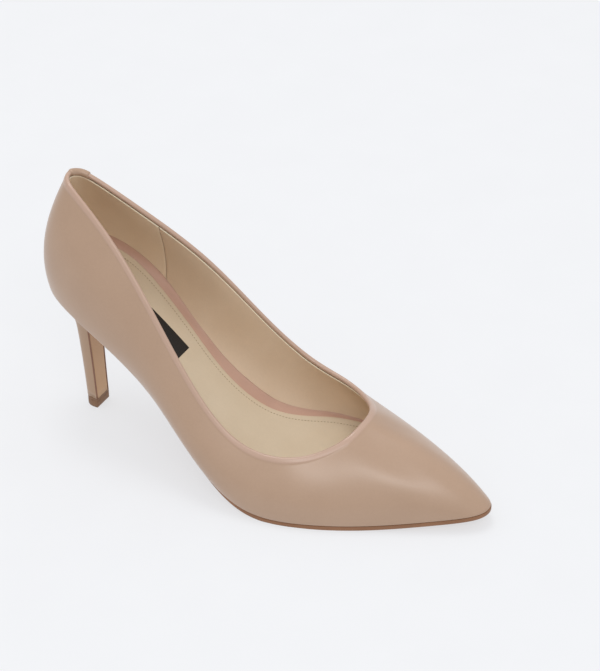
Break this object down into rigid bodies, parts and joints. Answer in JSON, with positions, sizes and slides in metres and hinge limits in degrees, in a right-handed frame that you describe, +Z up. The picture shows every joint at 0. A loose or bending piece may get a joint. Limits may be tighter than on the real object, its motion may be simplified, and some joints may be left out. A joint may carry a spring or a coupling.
{
  "type": "high heel pump",
  "caption": "Right-foot court pump with a pointed toe, low-cut topline, slim covered heel and thin sole, built as separate leather, lining, board and heel pieces.",
  "frame": {"origin": "on the ground under the middle of the shoe's bounding box", "axes": "+X from heel to toe, +Y to the inner side of the foot, +Z up from the ground"},
  "size_m": [0.2327, 0.0862, 0.131],
  "materials": {
    "upper_leather": "smooth satin",
    "lining_leather": "matte",
    "sock_leather": "matte",
    "rim_leather": "matte",
    "sole_leather": "satin",
    "heel_cover_leather": "satin",
    "breast_leather": "satin",
    "textile": "woven",
    "thread": "twisted thread",
    "label_fabric": "satin",
    "stiffener": "matte",
    "fibreboard": "matte",
    "cork_filler": "matte",
    "foam": "matte",
    "spring_steel": "brushed",
    "fixing_steel": "plain",
    "heel_plastic": "matte",
    "top_piece_rubber": "satin"
  },
  "bodies": {
    "root": {"upper_leather": "upper_leather", "back_tab": "upper_leather", "topline_tape": "textile", "topline_stitching": "thread", "back_seam_tape": "textile", "interlining": "textile", "toe_puff": "stiffener", "heel_counter": "stiffener", "vamp_lining": "lining_leather", "quarter_lining": "lining_leather", "insole_board": "fibreboard", "shank_board": "fibreboard", "steel_shank": "spring_steel", "shank_rivets": "fixing_steel", "bottom_filler": "cork_filler", "footbed_foam": "foam", "footbed_rim": "rim_leather", "sock_lining": "sock_leather", "sock_stitching": "thread", "sock_label": "label_fabric", "outsole": "sole_leather", "heel_core": "heel_plastic", "heel_cover": "heel_cover_leather", "heel_breast_cover": "breast_leather", "heel_dowel": "fixing_steel", "heel_screw": "fixing_steel", "heel_nails": "fixing_steel", "top_piece": "top_piece_rubber", "top_piece_pin": "fixing_steel"}
  },
  "joints": []
}
